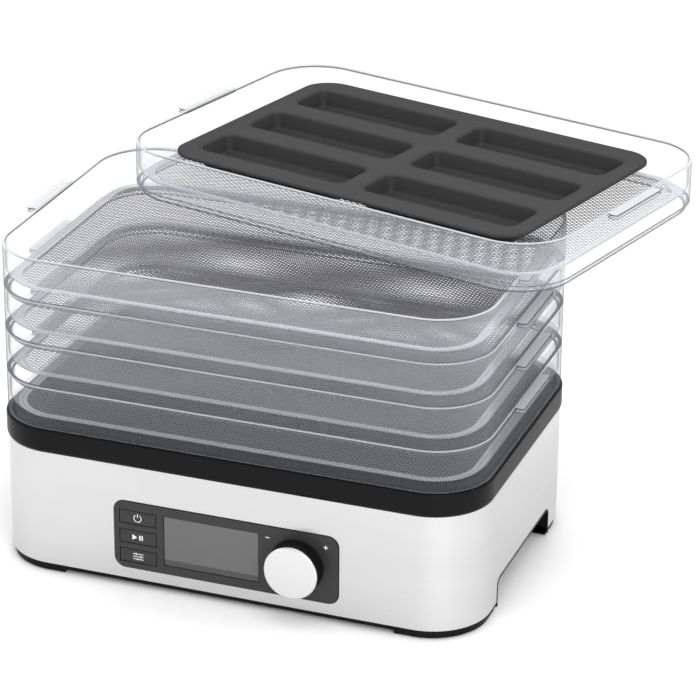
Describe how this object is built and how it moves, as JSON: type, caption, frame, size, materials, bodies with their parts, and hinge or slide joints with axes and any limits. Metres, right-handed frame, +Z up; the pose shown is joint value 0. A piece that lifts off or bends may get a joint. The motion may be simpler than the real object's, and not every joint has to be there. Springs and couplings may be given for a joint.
{
  "type": "food_dehydrator",
  "caption": "Electric food dehydrator: steel-clad base with fan, heater, panel and dial knob, clear stacking mesh trays, the top one askew with a silicone bar mould",
  "frame": {"origin": "bottom centre of the bounding box, on the plane of the foot pads", "axes": "+X to the right seen from the front, +Y to the back away from the control panel, +Z up"},
  "size_m": [0.4232, 0.3596, 0.2646],
  "materials": {
    "steel": "fine horizontal grain, soft sheen",
    "black": "satin black moulding",
    "panel": "satin charcoal",
    "display": "smooth grey window, unlit",
    "clear": "clear, see-through, polished",
    "silicone": "matte charcoal silicone",
    "chrome": "satin face with a bright edge",
    "rubber": "matte black pads",
    "zinc": "plain zinc-coated steel",
    "board": "green circuit board",
    "component": "black component housings",
    "nylon": "off-white nylon",
    "mica": "dull mica sheet",
    "winding": "dull resistance wire",
    "insulation": "red sleeved wire"
  },
  "bodies": {
    "base": {"steel_sleeve": "steel", "lower_chassis": "black", "top_cover": "black", "air_outlet_grille": "black", "motor_body": "zinc", "motor_bracket": "zinc", "heater_frame": "mica", "heater_winding": "winding", "thermal_fuse": "zinc", "temperature_sensor": "nylon", "air_duct": "zinc", "power_board": "board", "mains_relay": "component", "transformer": "component", "terminal_block": "nylon", "control_board": "board", "display_module": "component", "switch_power": "component", "switch_start": "component", "switch_set": "component", "rotary_encoder": "zinc", "cord_gland": "black", "inner_mains_lead": "component", "heater_lead": "insulation", "ribbon_cable": "component", "panel_bezel": "panel", "display_window": "display", "foot_pad_1": "rubber", "foot_pad_2": "rubber", "foot_pad_3": "rubber", "foot_pad_4": "rubber", "case_screw_1": "zinc", "case_screw_2": "zinc", "case_screw_3": "zinc", "case_screw_4": "zinc", "motor_screw_1": "zinc", "power_board_screw_1": "zinc", "panel_screw_1": "zinc", "motor_screw_2": "zinc", "power_board_screw_2": "zinc", "panel_screw_2": "zinc"},
    "fan": {"fan_impeller": "black", "motor_shaft": "zinc"},
    "knob": {"encoder_shaft": "zinc", "knob_body": "panel", "knob_cap": "chrome"},
    "power_key": {"button_power": "panel"},
    "start_key": {"button_start": "panel"},
    "set_key": {"button_set": "panel"},
    "tray_1_body": {"tray_1": "clear"},
    "tray_2_body": {"tray_2": "clear"},
    "tray_3_body": {"tray_3": "clear"},
    "tray_4_body": {"tray_4": "clear"},
    "tray_5_body": {"tray_5": "clear"},
    "mould": {"bar_mould": "silicone"}
  },
  "joints": [
    {"name": "fan_spin", "type": "hinge", "parent": "base", "child": "fan", "pos_m": [-0.0324, -0.05137, 0.042], "axis": [0, 0, 1], "continuous": true},
    {"name": "knob_turn", "type": "hinge", "parent": "base", "child": "knob", "pos_m": [0.0191, -0.16667, 0.0397], "axis": [0, 1, 0], "continuous": true},
    {"name": "power_press", "type": "slide", "parent": "base", "child": "power_key", "axis": [0, 1, 0], "range_m": [0, 0.001], "stiffness_N_per_m": 900},
    {"name": "start_press", "type": "slide", "parent": "base", "child": "start_key", "axis": [0, 1, 0], "range_m": [0, 0.001], "stiffness_N_per_m": 900},
    {"name": "set_press", "type": "slide", "parent": "base", "child": "set_key", "axis": [0, 1, 0], "range_m": [0, 0.001], "stiffness_N_per_m": 900},
    {"name": "tray_1_lift", "type": "slide", "parent": "base", "child": "tray_1_body", "axis": [0, 0, 1], "range_m": [0, 0.04]},
    {"name": "tray_2_lift", "type": "slide", "parent": "tray_1_body", "child": "tray_2_body", "axis": [0, 0, 1], "range_m": [0, 0.04]},
    {"name": "tray_3_lift", "type": "slide", "parent": "tray_2_body", "child": "tray_3_body", "axis": [0, 0, 1], "range_m": [0, 0.04]},
    {"name": "tray_4_lift", "type": "slide", "parent": "tray_3_body", "child": "tray_4_body", "axis": [0, 0, 1], "range_m": [0, 0.04]},
    {"name": "tray_5_lift", "type": "slide", "parent": "tray_4_body", "child": "tray_5_body", "axis": [0, 0, 1], "range_m": [0, 0.04]},
    {"name": "mould_lift", "type": "slide", "parent": "tray_5_body", "child": "mould", "axis": [0, 0, 1], "range_m": [0, 0.05]}
  ]
}
